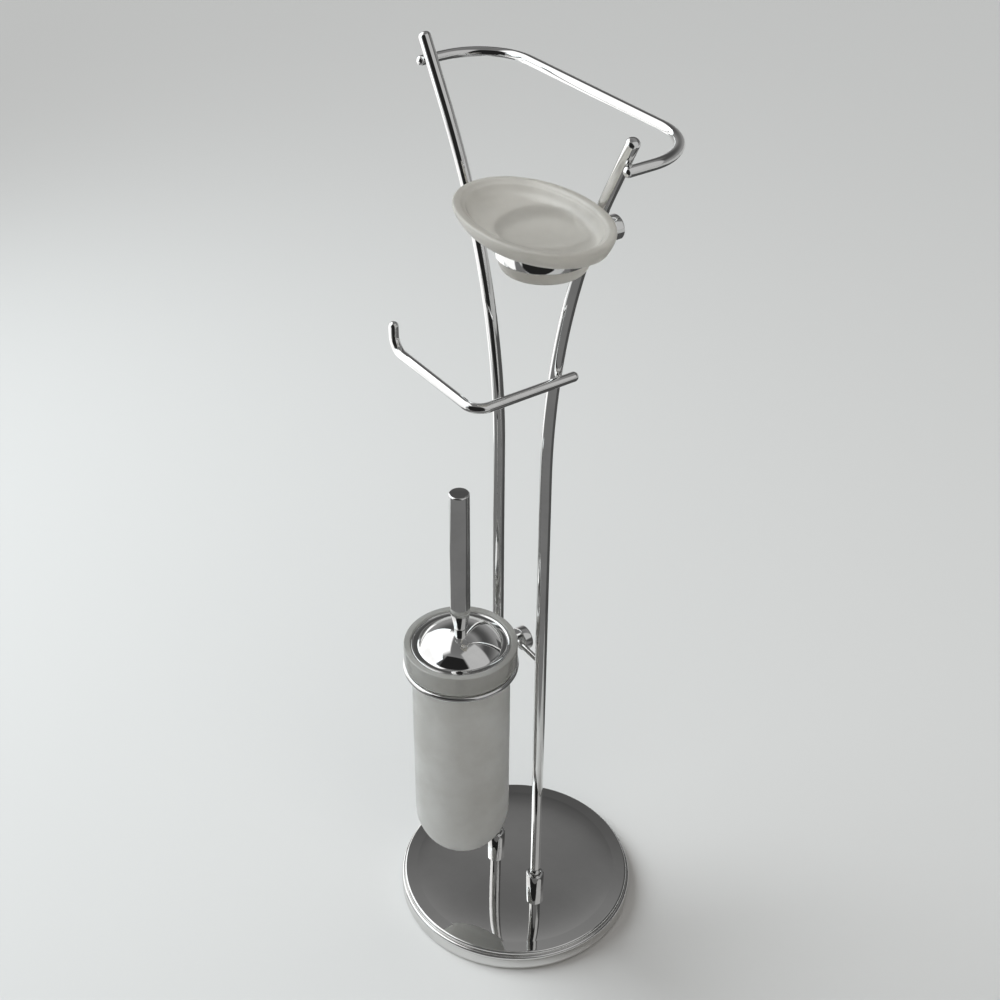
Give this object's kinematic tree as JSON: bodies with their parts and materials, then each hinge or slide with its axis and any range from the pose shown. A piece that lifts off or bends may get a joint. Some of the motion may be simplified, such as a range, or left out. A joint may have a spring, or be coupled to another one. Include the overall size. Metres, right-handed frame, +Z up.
{
  "type": "toilet accessory stand",
  "caption": "Free-standing chrome bathroom stand with a round weighted base, flared posts, towel bar, paper arm, soap dish and a toilet brush in a frosted glass cup.",
  "frame": {"origin": "middle of the base's underside, on the floor", "axes": "+Z up the posts, +X from the post without the soap dish to the post that carries it, +Y to the towel bar's side; the brush, the dish and the paper arm are on -Y"},
  "size_m": [0.2794, 0.2202, 0.8084],
  "materials": {
    "chrome": "bright polished chrome plate",
    "satin_steel": "plain zinc-plated steel",
    "cast_iron": "raw casting",
    "rubber": "matte black rubber",
    "frosted_glass": "satin-frosted white glass",
    "white_plastic": "white nylon and moulded plastic"
  },
  "bodies": {
    "frame": {"base_pad": "rubber", "base_weight": "cast_iron", "base_cover": "chrome", "post_left": "chrome", "post_right": "chrome", "collar_left": "chrome", "collar_right": "chrome", "post_screw_left": "satin_steel", "post_screw_right": "satin_steel", "post_washer_left": "satin_steel", "post_washer_right": "satin_steel", "towel_bar": "chrome", "paper_holder": "chrome", "cross_rod": "chrome", "ring_boss": "chrome", "brush_ring": "chrome", "dish_ring": "chrome", "dish_knob": "chrome"},
    "dish": {"soap_dish": "frosted_glass"},
    "cup": {"brush_cup": "frosted_glass"},
    "brush": {"brush_lid": "chrome", "brush_handle": "chrome", "lid_nut": "satin_steel", "brush_stem": "satin_steel", "brush_head": "white_plastic", "bristles_1": "white_plastic", "bristles_2": "white_plastic", "bristles_3": "white_plastic", "bristles_4": "white_plastic"}
  },
  "joints": [
    {"name": "dish_lift", "type": "slide", "parent": "frame", "child": "dish", "axis": [0, 0, 1], "range_m": [0, 0.03]},
    {"name": "cup_lift", "type": "slide", "parent": "frame", "child": "cup", "axis": [0, 0, 1], "range_m": [0, 0.02]},
    {"name": "brush_lift", "type": "slide", "parent": "cup", "child": "brush", "axis": [0, 0, 1], "range_m": [0, 0.224]}
  ]
}
